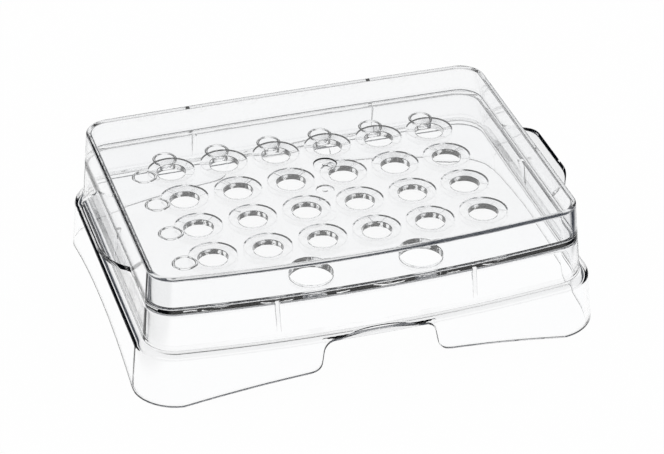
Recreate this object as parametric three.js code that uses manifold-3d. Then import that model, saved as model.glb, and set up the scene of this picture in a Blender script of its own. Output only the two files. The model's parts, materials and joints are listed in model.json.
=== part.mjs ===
// A clear moulded microcentrifuge tube rack with its lift-off lid, in millimetres, +Z up.
// The origin is on the surface that the rack stands on, under the middle of its footprint.
// X runs along a row of tube holes, and -Y is the bowed front.

import * as THREE from 'three';
import { mergeVertices } from 'three/addons/utils/BufferGeometryUtils.js';
import Module from 'manifold-3d';

const wasm = await Module();
wasm.setup();

// ---- Driving dimensions ----

// The grid of tube holes
const HOLE_ROWS = 4;
const HOLE_COLUMNS = 6;
const HOLE_PITCH = 20;
const TUBE_HOLE_DIAMETER = 10.8;
const DISH_DIAMETER = 17.6;
const DISH_DEPTH = 1.1;

// The seat outline, which is the outside of the walls where the lid rests
const END_MARGIN = 28.6; // from the last hole's centre to the end wall
const FRONT_MARGIN = 31.9; // from the front row to the middle of the bowed front wall
const BACK_MARGIN = 27.3; // from the back row to the middle of the back wall
const FRONT_BOW = 5.6; // how far the front wall bulges between the ends
const BACK_BOW = 1;
const SEAT_CORNER_RADIUS = 10.4;

// Heights and walls
const SKIRT_HEIGHT = 20.4;
const TIER_HEIGHT = 15.8; // from the skirt's shoulder up to the seat
const DECK_RISE = 0.25; // the deck stands this much above the seat, and centres the lid
const DECK_THICKNESS = 3;
const WALL = 2;
const DRAFT = THREE.MathUtils.degToRad(5.3);
const SHOULDER_WIDTH = 3.1;
const SHOULDER_EDGE_RADIUS = 2.6;
const SHOULDER_ROOT_RADIUS = 0.5;
const DECK_ROOT_RADIUS = 1.5;

// The lid
const LID_HEIGHT = 12.2;
const LID_WALL = 1.7;
const LID_EDGE_RADIUS = 0.8;
const LID_INNER_RADIUS = 0.6;
const LID_CLEARANCE = 0.3;

// Finger tabs on both ends, which leave the wall level with the seat and curve up to their tips
const TAB_REACH = 8.9;
const TAB_RISE = 2.9;
const TAB_THICKNESS = 2;
const TAB_FLAT_LENGTH = 24;
const TAB_CORNER_RADIUS = 15;
const TAB_ROOT_RADIUS = 4;

// Arched lower edge, which leaves four corner feet
const FRONT_ARCH_RISE = 7.8;
const FRONT_FOOT_LENGTH = 15; // from the end wall's foot to where the arch starts
const END_ARCH_RISE = 5.3;
const END_FOOT_LENGTH = 13;

// Thumb notches in the middle of the front and back skirts
const NOTCH_WIDTH = 42;
const NOTCH_CORNER_RADIUS = 3.5;
const NOTCH_SCOOP_RADIUS = 100;
const NOTCH_LIP = 1.5; // shoulder that is left along the wall above the notch

// Two large round holes in the front margin
const LARGE_HOLE_DIAMETER = 15.4;
const LARGE_HOLE_SPACING = 40;
const LARGE_HOLE_SETBACK = 18.4; // in front of the front row

// Round index spots beside each row and behind each column
const SPOT_DIAMETER = 9;
const SPOT_DEPTH = 0.6;
const SPOT_REACH = 9.7; // from the last hole's centre to the spot's centre

// Gussets between the deck and the inside of the walls
const GUSSET_THICKNESS = 1.3;
const GUSSET_HEIGHT = 12;
const GUSSET_DEPTH = 2.4;
const GUSSET_SPACING = 72;

// Gate marks in the middle of the lid and of the deck
const LID_GATE_DIAMETER = 8.4;
const DECK_GATE_DIAMETER = 6.6;
const GATE_DEPTH = 0.45;
const GATE_NUB_DIAMETER = 2;

// Faceting
const HOLE_SEGMENTS = 24;
const FRONT_STEPS = 16;
const BACK_STEPS = 8;
const CORNER_STEPS = 7;
const FILLET_STEPS = 4;
const CURVE_STEPS = 8; // in one turn of a drawn shape
const ARCH_STEPS = 20;
const SCOOP_SEGMENTS = 160;

const OVERCUT = 1; // how far a cutter runs past the face that it opens
const LEAST_RADIUS = 0.3; // an inside edge is never sharper than this

// ---- Levels and places that follow from the driving dimensions ----

const SLOPE = Math.tan(DRAFT);
const SHOULDER_Z = SKIRT_HEIGHT;
const SEAT_Z = SHOULDER_Z + TIER_HEIGHT;
const DECK_Z = SEAT_Z + DECK_RISE;
const DECK_UNDER_Z = DECK_Z - DECK_THICKNESS;
const LID_Z = SEAT_Z + LID_HEIGHT;
const SEAT_WIDTH = LID_WALL + LID_CLEARANCE;

const LAST_COLUMN_X = ((HOLE_COLUMNS - 1) * HOLE_PITCH) / 2;
const BACK_ROW_Y = ((HOLE_ROWS - 1) * HOLE_PITCH) / 2;
const HALF_LENGTH = LAST_COLUMN_X + END_MARGIN;
const FRONT_Y = -(BACK_ROW_Y + FRONT_MARGIN);
const BACK_Y = BACK_ROW_Y + BACK_MARGIN;

// How far the outer surfaces lie outside the seat outline
const TIER_FOOT_OFFSET = TIER_HEIGHT * SLOPE;
const SHOULDER_OFFSET = TIER_FOOT_OFFSET + SHOULDER_WIDTH;
const FLOOR_OFFSET = SHOULDER_OFFSET + SKIRT_HEIGHT * SLOPE;

// Per millimetre of wall or of radius: how far a leaning wall reaches on the level, and how far
// the middle of a fillet lies from the sharp edge that the fillet rounds off.
const LEVEL_REACH = 1 / Math.cos(DRAFT);
const FILLET_REACH = LEVEL_REACH - SLOPE;
const WALL_ACROSS = WALL * LEVEL_REACH;
const EDGE_MIDDLE_OFFSET = SHOULDER_OFFSET - SHOULDER_EDGE_RADIUS * FILLET_REACH;
const ROOT_MIDDLE_OFFSET = TIER_FOOT_OFFSET + SHOULDER_ROOT_RADIUS * FILLET_REACH;

// ---- The seat outline as arcs, each with its centre, radius and span of outward directions ----

function bowRadius(bow) {
  return (HALF_LENGTH ** 2 + bow ** 2) / (2 * bow);
}

// A corner arc touches the end wall and the bowed wall, side being -1 at the front and 1 at the back.
function cornerArc(side, wallY, bow) {
  const radius = bowRadius(bow);
  const centreX = HALF_LENGTH - SEAT_CORNER_RADIUS;
  const rise = Math.sqrt((radius - SEAT_CORNER_RADIUS) ** 2 - centreX ** 2);
  return {
    bowCentreY: wallY - side * radius,
    bowRadius: radius,
    centreX,
    centreY: wallY - side * (radius - rise),
    lean: Math.atan2(centreX, rise),
  };
}

const front = cornerArc(-1, FRONT_Y, FRONT_BOW);
const back = cornerArc(1, BACK_Y, BACK_BOW);

function arc(x, y, radius, start, end, steps) {
  return { x, y, radius, start, end, steps };
}

function cornerTurn(x, y, start, end) {
  return arc(x, y, SEAT_CORNER_RADIUS, start, end, CORNER_STEPS);
}

const QUARTER = Math.PI / 2;
const OUTLINE_ARCS = [
  arc(0, front.bowCentreY, front.bowRadius, -QUARTER - front.lean, -QUARTER + front.lean, FRONT_STEPS),
  cornerTurn(front.centreX, front.centreY, -QUARTER + front.lean, 0),
  cornerTurn(back.centreX, back.centreY, 0, QUARTER - back.lean),
  arc(0, back.bowCentreY, back.bowRadius, QUARTER - back.lean, QUARTER + back.lean, BACK_STEPS),
  cornerTurn(-back.centreX, back.centreY, QUARTER + back.lean, 2 * QUARTER),
  cornerTurn(-front.centreX, front.centreY, 2 * QUARTER, 3 * QUARTER - front.lean),
];

// The outline moved outwards by offset, as points that match from one offset to the next.
function ring(offset) {
  const points = [];
  for (const { x, y, radius, start, end, steps } of OUTLINE_ARCS) {
    const followsSideWall = start === 0 || start === 2 * QUARTER;
    for (let i = followsSideWall ? 0 : 1; i <= steps; i += 1) {
      const angle = start + ((end - start) * i) / steps;
      const reach = radius + offset;
      points.push([x + reach * Math.cos(angle), y + reach * Math.sin(angle)]);
    }
  }
  return points;
}

// Where the front or back surface lies at a given x, at a given offset from the seat outline.
function frontYAt(x, offset) {
  return front.bowCentreY - Math.sqrt((front.bowRadius + offset) ** 2 - x ** 2);
}

function backYAt(x, offset) {
  return back.bowCentreY + Math.sqrt((back.bowRadius + offset) ** 2 - x ** 2);
}

// ---- Solids ----

function toSolid(geometry) {
  geometry.deleteAttribute('normal');
  geometry.deleteAttribute('uv');
  const merged = mergeVertices(geometry);
  const corners = merged.index.array;
  const kept = [];
  for (let i = 0; i < corners.length; i += 3) {
    const [a, b, c] = corners.subarray(i, i + 3);
    if (a !== b && b !== c && c !== a) {
      kept.push(a, b, c);
    }
  }
  const vertProperties = new Float32Array(merged.attributes.position.array);
  return new wasm.Manifold(new wasm.Mesh({ numProp: 3, vertProperties, triVerts: new Uint32Array(kept) }));
}

function toGeometry(solid) {
  const { vertProperties, triVerts } = solid.getMesh();
  const geometry = new THREE.BufferGeometry();
  geometry.setAttribute('position', new THREE.BufferAttribute(vertProperties, 3));
  geometry.setIndex(new THREE.BufferAttribute(triVerts, 1));
  geometry.computeVertexNormals();
  return geometry;
}

// A closed body through rings of the outline, from a profile of [offset, z] pairs, bottom first.
function loft(profile) {
  const positions = [];
  for (const [offset, z] of profile) {
    for (const [x, y] of ring(offset)) {
      positions.push(x, y, z);
    }
  }
  const count = ring(0).length;
  const last = profile.length - 1;
  const bottomCentre = positions.length / 3;
  positions.push(0, 0, profile[0][1]);
  const topCentre = bottomCentre + 1;
  positions.push(0, 0, profile[last][1]);
  const faces = [];
  for (let i = 0; i < count; i += 1) {
    const next = (i + 1) % count;
    faces.push(bottomCentre, next, i);
    faces.push(topCentre, last * count + i, last * count + next);
    for (let level = 0; level < last; level += 1) {
      const low = level * count;
      const high = low + count;
      faces.push(low + i, low + next, high + next);
      faces.push(low + i, high + next, high + i);
    }
  }
  const geometry = new THREE.BufferGeometry();
  geometry.setAttribute('position', new THREE.Float32BufferAttribute(positions, 3));
  geometry.setIndex(faces);
  return toSolid(geometry);
}

// Profile points along a quarter turn between a leaning wall and a level face.
function quarterTurn(offset, z, radius, start, end) {
  const points = [];
  for (let i = 0; i <= FILLET_STEPS; i += 1) {
    const angle = start + ((end - start) * i) / FILLET_STEPS;
    points.push([offset + radius * Math.cos(angle), z + radius * Math.sin(angle)]);
  }
  return points;
}

function disc(diameter, bottom, top, x, y) {
  const radius = diameter / 2;
  const geometry = new THREE.CylinderGeometry(radius, radius, top - bottom, HOLE_SEGMENTS);
  geometry.rotateX(QUARTER);
  geometry.translate(x, y, (top + bottom) / 2);
  return toSolid(geometry);
}

// A shape drawn in X and Z, extruded along Y from y to y + depth.
function extrudeAlongY(shape, y, depth) {
  const geometry = new THREE.ExtrudeGeometry(shape, {
    depth,
    bevelEnabled: false,
    curveSegments: CURVE_STEPS,
  });
  geometry.rotateX(QUARTER);
  geometry.translate(0, y + depth, 0);
  return toSolid(geometry);
}

// ---- The rack ----

function outerShell() {
  const edge = SHOULDER_EDGE_RADIUS;
  const root = SHOULDER_ROOT_RADIUS;
  return loft([
    [FLOOR_OFFSET, 0],
    ...quarterTurn(EDGE_MIDDLE_OFFSET, SHOULDER_Z - edge, edge, DRAFT, QUARTER),
    ...quarterTurn(ROOT_MIDDLE_OFFSET, SHOULDER_Z + root, root, 3 * QUARTER, 2 * QUARTER + DRAFT),
    [0, SEAT_Z],
    [-SEAT_WIDTH, SEAT_Z],
    [-SEAT_WIDTH, DECK_Z],
  ]);
}

// The inside follows the outside one wall further in, so its turns share the outer turns' middles.
function innerCavity() {
  const edge = Math.max(SHOULDER_EDGE_RADIUS - WALL, LEAST_RADIUS);
  const edgeZ = SHOULDER_Z - SHOULDER_EDGE_RADIUS;
  const root = SHOULDER_ROOT_RADIUS + WALL;
  const rootZ = SHOULDER_Z + SHOULDER_ROOT_RADIUS;
  const top = DECK_ROOT_RADIUS;
  const topOffset = -WALL_ACROSS + (SEAT_Z - DECK_UNDER_Z) * SLOPE - top * FILLET_REACH;
  return loft([
    [FLOOR_OFFSET - WALL_ACROSS + OVERCUT * SLOPE, -OVERCUT],
    ...quarterTurn(EDGE_MIDDLE_OFFSET, edgeZ, edge, DRAFT, QUARTER),
    ...quarterTurn(ROOT_MIDDLE_OFFSET, rootZ, root, 3 * QUARTER, 2 * QUARTER + DRAFT),
    ...quarterTurn(topOffset, DECK_UNDER_Z - top, top, DRAFT, QUARTER),
  ]);
}

// A tab is the outline below, seen from above, cut from a sheet that curves up towards the tip.
function fingerTab(side) {
  const reach = HALF_LENGTH + TAB_REACH;
  const anchor = HALF_LENGTH - WALL / 2;
  const flat = TAB_FLAT_LENGTH / 2;
  const cornerX = reach - TAB_CORNER_RADIUS;
  const rootX = HALF_LENGTH + TAB_ROOT_RADIUS;
  const centres = TAB_CORNER_RADIUS + TAB_ROOT_RADIUS;
  const turn = Math.acos((rootX - cornerX) / centres);
  const rootY = flat + centres * Math.sin(turn);
  const shape = new THREE.Shape();
  shape.moveTo(anchor, -rootY);
  shape.lineTo(HALF_LENGTH, -rootY);
  shape.absarc(rootX, -rootY, TAB_ROOT_RADIUS, 2 * QUARTER, 2 * QUARTER - turn, true);
  shape.absarc(cornerX, -flat, TAB_CORNER_RADIUS, -turn, 0, false);
  shape.absarc(cornerX, flat, TAB_CORNER_RADIUS, 0, turn, false);
  shape.absarc(rootX, rootY, TAB_ROOT_RADIUS, 2 * QUARTER + turn, 2 * QUARTER, true);
  shape.lineTo(anchor, rootY);
  const outline = new THREE.ExtrudeGeometry(shape, {
    depth: TAB_RISE + 2 * TAB_THICKNESS,
    bevelEnabled: false,
    curveSegments: CURVE_STEPS,
  });
  outline.translate(0, 0, SEAT_Z - 2 * TAB_THICKNESS);
  const tab = toSolid(outline).intersect(tabSheet(anchor, 2 * rootY));
  const middleY = (back.centreY + front.centreY) / 2;
  return tab.rotate([0, 0, side < 0 ? 180 : 0]).translate([0, middleY, 0]);
}

// The sheet is level up to the wall, then follows an arc that reaches the tab's rise at its tip.
function tabSheet(anchor, width) {
  const radius = (TAB_REACH ** 2 + TAB_RISE ** 2) / (2 * TAB_RISE);
  const outer = radius + TAB_THICKNESS;
  const turn = Math.asin((TAB_REACH + OVERCUT) / radius);
  const middleZ = SEAT_Z + radius;
  const section = new THREE.Shape();
  section.moveTo(anchor, SEAT_Z - TAB_THICKNESS);
  section.absarc(HALF_LENGTH, middleZ, outer, -QUARTER, -QUARTER + turn, false);
  section.absarc(HALF_LENGTH, middleZ, radius, -QUARTER + turn, -QUARTER, true);
  section.lineTo(anchor, SEAT_Z);
  return extrudeAlongY(section, -width / 2, width);
}

// The space under one arch, as a shape across the wall that it cuts.
function archShape(halfSpan, rise) {
  const radius = (halfSpan ** 2 + rise ** 2) / (2 * rise);
  const spread = Math.asin(halfSpan / radius);
  const shape = new THREE.Shape();
  shape.moveTo(-halfSpan, -OVERCUT);
  shape.lineTo(halfSpan, -OVERCUT);
  shape.absarc(0, rise - radius, radius, QUARTER - spread, QUARTER + spread, false);
  return shape;
}

function extrudeArch(shape, depth) {
  const geometry = new THREE.ExtrudeGeometry(shape, {
    depth,
    bevelEnabled: false,
    curveSegments: ARCH_STEPS,
  });
  geometry.rotateX(QUARTER);
  geometry.translate(0, depth / 2, 0);
  return geometry;
}

function frontArch() {
  const halfSpan = HALF_LENGTH + FLOOR_OFFSET - FRONT_FOOT_LENGTH;
  const depth = BACK_Y - FRONT_Y + 2 * FLOOR_OFFSET + 2 * OVERCUT;
  const geometry = extrudeArch(archShape(halfSpan, FRONT_ARCH_RISE), depth);
  geometry.translate(0, (BACK_Y + FRONT_Y) / 2, 0);
  return toSolid(geometry);
}

function endArch() {
  const halfDepth = (back.centreY - front.centreY) / 2 + SEAT_CORNER_RADIUS + FLOOR_OFFSET;
  const depth = 2 * (HALF_LENGTH + FLOOR_OFFSET + OVERCUT);
  const geometry = extrudeArch(archShape(halfDepth - END_FOOT_LENGTH, END_ARCH_RISE), depth);
  geometry.rotateZ(QUARTER);
  geometry.translate(0, (back.centreY + front.centreY) / 2, 0);
  return toSolid(geometry);
}

// A thumb notch goes through the skirt, and is scooped round in plan where it cuts the shoulder.
// side is -1 in front and 1 at the back.
function thumbNotch(side) {
  const radius = NOTCH_CORNER_RADIUS;
  const top = SHOULDER_Z + OVERCUT / 2;
  const foot = NOTCH_WIDTH / 2 + (SKIRT_HEIGHT / 2) * SLOPE;
  const head = NOTCH_WIDTH / 2 - (SKIRT_HEIGHT / 2) * SLOPE;
  const flare = foot + radius; // the sides turn outwards into the arch, which has dropped a little here
  const flareZ = FRONT_ARCH_RISE - radius / 2;
  const bendZ = FRONT_ARCH_RISE - radius / 4;
  const shape = new THREE.Shape();
  shape.moveTo(-flare, -OVERCUT);
  shape.lineTo(flare, -OVERCUT);
  shape.lineTo(flare, flareZ);
  shape.quadraticCurveTo(foot, bendZ, foot - radius * SLOPE, bendZ + radius);
  shape.lineTo(head, top - radius);
  shape.absarc(head - radius, top - radius, radius, 0, QUARTER, false);
  shape.lineTo(-head + radius, top);
  shape.absarc(-head + radius, top - radius, radius, QUARTER, 2 * QUARTER, false);
  shape.lineTo(-foot + radius * SLOPE, bendZ + radius);
  shape.quadraticCurveTo(-foot, bendZ, -flare, flareZ);
  const wallY = side < 0 ? frontYAt(0, TIER_FOOT_OFFSET) : backYAt(0, TIER_FOOT_OFFSET);
  const depth = 2 * (SHOULDER_WIDTH + FLOOR_OFFSET); // well past both faces of the skirt
  const opening = extrudeAlongY(shape, wallY - depth / 2, depth);
  const sweep = NOTCH_SCOOP_RADIUS;
  const scoop = new THREE.CylinderGeometry(sweep, sweep, 2 * SHOULDER_Z, SCOOP_SEGMENTS);
  scoop.rotateX(QUARTER);
  scoop.translate(0, wallY + side * (NOTCH_LIP + sweep), SHOULDER_Z);
  const belowShoulder = new THREE.BoxGeometry(2 * NOTCH_WIDTH, depth, 2 * SHOULDER_Z);
  belowShoulder.translate(0, wallY, -WALL);
  return opening.intersect(toSolid(belowShoulder).add(toSolid(scoop)));
}

function tubeHole(x, y) {
  const hole = TUBE_HOLE_DIAMETER / 2;
  const dish = DISH_DIAMETER / 2;
  const widening = ((dish - hole) / DISH_DEPTH) * OVERCUT;
  const profile = [
    new THREE.Vector2(0, DECK_UNDER_Z - OVERCUT),
    new THREE.Vector2(hole, DECK_UNDER_Z - OVERCUT),
    new THREE.Vector2(hole, DECK_Z - DISH_DEPTH),
    new THREE.Vector2(dish + widening, DECK_Z + OVERCUT),
    new THREE.Vector2(0, DECK_Z + OVERCUT),
  ];
  const geometry = new THREE.LatheGeometry(profile, HOLE_SEGMENTS);
  geometry.rotateX(QUARTER);
  geometry.translate(x, y, 0);
  return toSolid(geometry);
}

// A gusset stands in the corner between the deck and a wall; its own X runs inwards from the wall.
function gusset(x, y, inwards) {
  const bite = WALL / 2;
  const top = DECK_UNDER_Z + DECK_THICKNESS / 2;
  const bottom = DECK_UNDER_Z - GUSSET_HEIGHT;
  const shape = new THREE.Shape();
  shape.moveTo(-bite, top);
  shape.lineTo(-bite - GUSSET_HEIGHT * SLOPE, bottom);
  shape.lineTo(-GUSSET_HEIGHT * SLOPE, bottom);
  shape.lineTo(GUSSET_DEPTH, DECK_UNDER_Z);
  shape.lineTo(GUSSET_DEPTH, top);
  const geometry = new THREE.ExtrudeGeometry(shape, { depth: GUSSET_THICKNESS, bevelEnabled: false });
  geometry.rotateX(QUARTER);
  geometry.translate(0, GUSSET_THICKNESS / 2, 0);
  geometry.rotateZ(inwards);
  geometry.translate(x, y, 0);
  return toSolid(geometry);
}

function gussets() {
  const offset = -WALL_ACROSS + (SEAT_Z - DECK_UNDER_Z) * SLOPE;
  const x = GUSSET_SPACING / 2;
  return [
    gusset(-x, frontYAt(x, offset), QUARTER),
    gusset(x, frontYAt(x, offset), QUARTER),
    gusset(-x, backYAt(x, offset), -QUARTER),
    gusset(x, backYAt(x, offset), -QUARTER),
    gusset(-HALF_LENGTH - offset, 0, 0),
    gusset(HALF_LENGTH + offset, 0, 2 * QUARTER),
  ];
}

function indexSpots() {
  const spots = [];
  for (let row = 0; row < HOLE_ROWS; row += 1) {
    const y = BACK_ROW_Y - row * HOLE_PITCH;
    spots.push(disc(SPOT_DIAMETER, DECK_Z - SPOT_DEPTH, DECK_Z + OVERCUT, -LAST_COLUMN_X - SPOT_REACH, y));
  }
  for (let column = 0; column < HOLE_COLUMNS; column += 1) {
    const x = column * HOLE_PITCH - LAST_COLUMN_X;
    spots.push(disc(SPOT_DIAMETER, DECK_Z - SPOT_DEPTH, DECK_Z + OVERCUT, x, BACK_ROW_Y + SPOT_REACH));
  }
  return spots;
}

// A gate mark is a shallow dimple in the top face at z, with the broken-off nub in its middle.
function gateDimple(diameter, z) {
  const dimple = disc(diameter, z - GATE_DEPTH, z + OVERCUT, 0, 0);
  return dimple.subtract(disc(GATE_NUB_DIAMETER, z - GATE_DEPTH - OVERCUT, z - GATE_DEPTH / 2, 0, 0));
}

function rackSolid() {
  let rack = outerShell().subtract(innerCavity());
  for (const added of [fingerTab(-1), fingerTab(1), ...gussets()]) {
    rack = rack.add(added);
  }
  const cutters = [frontArch(), endArch(), thumbNotch(-1), thumbNotch(1)];
  for (let row = 0; row < HOLE_ROWS; row += 1) {
    for (let column = 0; column < HOLE_COLUMNS; column += 1) {
      cutters.push(tubeHole(column * HOLE_PITCH - LAST_COLUMN_X, BACK_ROW_Y - row * HOLE_PITCH));
    }
  }
  const largeHoleY = -BACK_ROW_Y - LARGE_HOLE_SETBACK;
  for (const side of [-1, 1]) {
    const x = (side * LARGE_HOLE_SPACING) / 2;
    cutters.push(disc(LARGE_HOLE_DIAMETER, DECK_UNDER_Z - OVERCUT, DECK_Z + OVERCUT, x, largeHoleY));
  }
  cutters.push(...indexSpots(), gateDimple(DECK_GATE_DIAMETER, DECK_Z));
  for (const cutter of cutters) {
    rack = rack.subtract(cutter);
  }
  return rack;
}

// ---- The lid ----

function lidSolid() {
  const radius = LID_EDGE_RADIUS;
  const inner = LID_INNER_RADIUS;
  const across = LID_WALL * LEVEL_REACH;
  const underside = LID_Z - LID_WALL;
  const edgeOffset = -LID_HEIGHT * SLOPE - radius * FILLET_REACH;
  const innerOffset = -across - (underside - SEAT_Z) * SLOPE - inner * FILLET_REACH;
  const outside = loft([[0, SEAT_Z], ...quarterTurn(edgeOffset, LID_Z - radius, radius, DRAFT, QUARTER)]);
  const inside = loft([
    [-across + OVERCUT * SLOPE, SEAT_Z - OVERCUT],
    ...quarterTurn(innerOffset, underside - inner, inner, DRAFT, QUARTER),
  ]);
  return outside.subtract(inside).subtract(gateDimple(LID_GATE_DIAMETER, LID_Z));
}

// ---- The two pieces ----

function clearPlastic(colour) {
  return new THREE.MeshStandardMaterial({
    color: colour,
    roughness: 0.05,
    metalness: 0,
    transparent: true,
    opacity: 0.35,
  });
}

function piece(name, solid, material) {
  const mesh = new THREE.Mesh(toGeometry(solid), material);
  mesh.name = name;
  return mesh;
}

// The sizes above start from the middle of the hole grid: here the footprint is centred instead.
const rack = rackSolid();
const { min, max } = rack.boundingBox();
const centring = [0, -(min[1] + max[1]) / 2, 0];

const tubeRack = new THREE.Group();
tubeRack.add(piece('rack', rack.translate(centring), clearPlastic(0xdfe5ea)));
tubeRack.add(piece('lid', lidSolid().translate(centring), clearPlastic(0xe6ebef)));

export default tubeRack;
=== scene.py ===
# %% [markdown]
# # A clear tube rack with its lift-off lid
#
# The rack is one hollow moulding in clear polycarbonate: a deck with a grid of dished holes, a
# stepped skirt on four corner feet, and a finger tab at each end. A shallow lid rests on its rim.
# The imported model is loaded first. It fixes the outer sizes and the places of the holes, so the
# two bodies made here replace its two solids by smoother ones of the same form.

# %% Load the frame
import bmesh
import bpy
import json
import math
from mathutils import Matrix, Vector


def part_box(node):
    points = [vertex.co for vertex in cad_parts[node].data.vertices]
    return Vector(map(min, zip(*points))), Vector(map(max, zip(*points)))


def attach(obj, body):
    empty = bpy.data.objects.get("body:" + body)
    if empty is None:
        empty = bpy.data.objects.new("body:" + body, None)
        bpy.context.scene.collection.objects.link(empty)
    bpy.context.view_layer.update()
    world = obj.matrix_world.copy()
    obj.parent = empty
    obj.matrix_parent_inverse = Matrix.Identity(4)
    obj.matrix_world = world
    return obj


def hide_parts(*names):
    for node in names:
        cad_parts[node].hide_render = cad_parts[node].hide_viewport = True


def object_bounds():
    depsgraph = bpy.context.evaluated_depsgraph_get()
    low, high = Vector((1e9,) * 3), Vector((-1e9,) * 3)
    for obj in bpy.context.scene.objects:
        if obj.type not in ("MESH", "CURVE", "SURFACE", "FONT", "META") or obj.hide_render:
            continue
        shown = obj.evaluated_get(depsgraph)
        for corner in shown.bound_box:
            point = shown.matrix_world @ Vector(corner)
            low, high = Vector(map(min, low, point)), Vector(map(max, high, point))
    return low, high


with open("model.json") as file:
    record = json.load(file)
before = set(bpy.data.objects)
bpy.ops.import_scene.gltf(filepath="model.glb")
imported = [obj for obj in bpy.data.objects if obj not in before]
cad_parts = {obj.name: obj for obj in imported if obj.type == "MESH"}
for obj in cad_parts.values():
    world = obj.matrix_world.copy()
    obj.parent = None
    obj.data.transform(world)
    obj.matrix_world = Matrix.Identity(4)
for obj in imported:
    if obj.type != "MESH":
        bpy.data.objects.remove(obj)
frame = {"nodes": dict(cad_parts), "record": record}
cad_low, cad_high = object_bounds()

print("nodes in the frame:", sorted(frame["nodes"]))

# %% [markdown]
# ## Sizes
#
# Lengths are in millimetres and are turned into metres where a mesh is made. The places of the
# holes come from the record's openings, and the outline and heights from the lid's box, because
# the lid's walls stand flush with the rack's upper ones. The sizes that a box can't tell, such as
# bows, wall thicknesses and radii, are written once, just before they are first used.

# %% Places of the holes
MM = 0.001


def in_mm(corner):
    """A corner of a box, in millimetres."""
    return [value / MM for value in corner]


def opening_centres(prefix):
    """The (x, y) middles of the record's openings whose names start like this."""
    centres = []
    for opening in frame["record"]["physics"]["openings"]:
        if opening["name"].startswith(prefix):
            low, high = opening["box_m"]
            centres.append(((low[0] + high[0]) / 2 / MM, (low[1] + high[1]) / 2 / MM))
    return centres


tube_holes = opening_centres("tube_hole")
large_holes = opening_centres("large_hole")
row_xs = sorted({round(x, 2) for x, y in tube_holes})
column_ys = sorted({round(y, 2) for x, y in tube_holes})
GRID_Y = sum(y for x, y in tube_holes) / len(tube_holes)
pitch = round(row_xs[1] - row_xs[0], 2)
print(len(tube_holes), "tube holes", pitch, "mm apart;", len(large_holes), "large holes")

# %% Outline and heights
lid_low, lid_high = (in_mm(corner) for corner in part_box("lid"))
HALF_LENGTH = lid_high[0]
FRONT_Y = lid_low[1]
BACK_Y = lid_high[1]
SEAT_Z = lid_low[2]
LID_Z = lid_high[2]

FRONT_BOW = 5.6
BACK_BOW = 1.0
SEAT_CORNER_RADIUS = 10.4
SHOULDER_Z = 20.4
SHOULDER_WIDTH = 3.1
WALL = 2.0
DECK_RISE = 0.25
DECK_THICKNESS = 3.0
DRAFT = math.radians(5.3)
SLOPE = math.tan(DRAFT)
LEVEL_REACH = math.hypot(1, SLOPE)

DECK_Z = SEAT_Z + DECK_RISE
DECK_UNDER_Z = DECK_Z - DECK_THICKNESS
WALL_ACROSS = WALL * LEVEL_REACH
TIER_FOOT = (SEAT_Z - SHOULDER_Z) * SLOPE
SHOULDER = TIER_FOOT + SHOULDER_WIDTH
FLOOR = SHOULDER + SHOULDER_Z * SLOPE
print("heights in mm: seat", round(SEAT_Z, 2), "deck", round(DECK_Z, 2), "lid", round(LID_Z, 2))

# %% [markdown]
# ## The outline
#
# Seen from above, the rack and the lid share one outline: straight ends, four round corners, and
# a front and back wall that bow outwards. It could be drawn as a curve and offset, but offset
# curves don't keep matching points. So each point of the outline is stored with the direction
# that its wall faces, and moving every point along its own direction gives the ring for a wall.

# %% The outline as a ring
QUARTER = math.pi / 2
FRONT_STEPS = 44
BACK_STEPS = 30
CORNER_STEPS = 20
END_STEPS = 12


def corner_arc(side, wall_y, bow):
    """The arc of a bowed wall and of its round corners; side is -1 at the front, 1 at the back."""
    bow_radius = (HALF_LENGTH**2 + bow**2) / (2 * bow)
    centre_x = HALF_LENGTH - SEAT_CORNER_RADIUS
    rise = math.sqrt((bow_radius - SEAT_CORNER_RADIUS) ** 2 - centre_x**2)
    return {
        "bow_y": wall_y - side * bow_radius,
        "bow_radius": bow_radius,
        "x": centre_x,
        "y": wall_y - side * (bow_radius - rise),
        "lean": math.atan2(centre_x, rise),
    }


front = corner_arc(-1, FRONT_Y, FRONT_BOW)
back = corner_arc(1, BACK_Y, BACK_BOW)


def arc_run(x, y, radius, start, end, steps):
    """Points along an arc, each with the direction in which its wall faces."""
    run = []
    for i in range(steps):
        angle = start + (end - start) * i / steps
        across, along = math.cos(angle), math.sin(angle)
        run.append((x + radius * across, y + radius * along, across, along))
    return run


def bow_run(arc, middle, steps):
    """A bowed wall, round the direction of its middle."""
    lean = arc["lean"]
    return arc_run(0, arc["bow_y"], arc["bow_radius"], middle - lean, middle + lean, steps)


def corner_run(arc, side, start, end):
    """A round corner, side being -1 at the left and 1 at the right."""
    return arc_run(side * arc["x"], arc["y"], SEAT_CORNER_RADIUS, start, end, CORNER_STEPS)


def end_run(side, start_y, end_y):
    """A straight end wall."""
    return [(side * HALF_LENGTH, start_y + (end_y - start_y) * i / END_STEPS, side, 0)
            for i in range(END_STEPS)]


OUTLINE = (
    bow_run(front, -QUARTER, FRONT_STEPS)
    + corner_run(front, 1, -QUARTER + front["lean"], 0)
    + end_run(1, front["y"], back["y"])
    + corner_run(back, 1, 0, QUARTER - back["lean"])
    + bow_run(back, QUARTER, BACK_STEPS)
    + corner_run(back, -1, QUARTER + back["lean"], 2 * QUARTER)
    + end_run(-1, back["y"], front["y"])
    + corner_run(front, -1, 2 * QUARTER, 3 * QUARTER - front["lean"])
)
print(len(OUTLINE), "points in a ring of the outline")

# %% [markdown]
# ## Drawing a body from rings
#
# A moulding like this could be built from boxes and Booleans, but its walls lean and its edges
# are all rounded. So it is drawn as by hand: one face of the outline is added, and extruded from
# level to level, where each new ring is set to the outline at that level's offset. A profile lists
# the corners of the wall's section, each with its radius, and a helper turns the corners into arcs.
# Small arcs get longer steps, because nobody can see their facets.

# %% Rounded profiles
ARC_STEP = math.radians(11)
SMALL_ARC = 0.5


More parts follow.
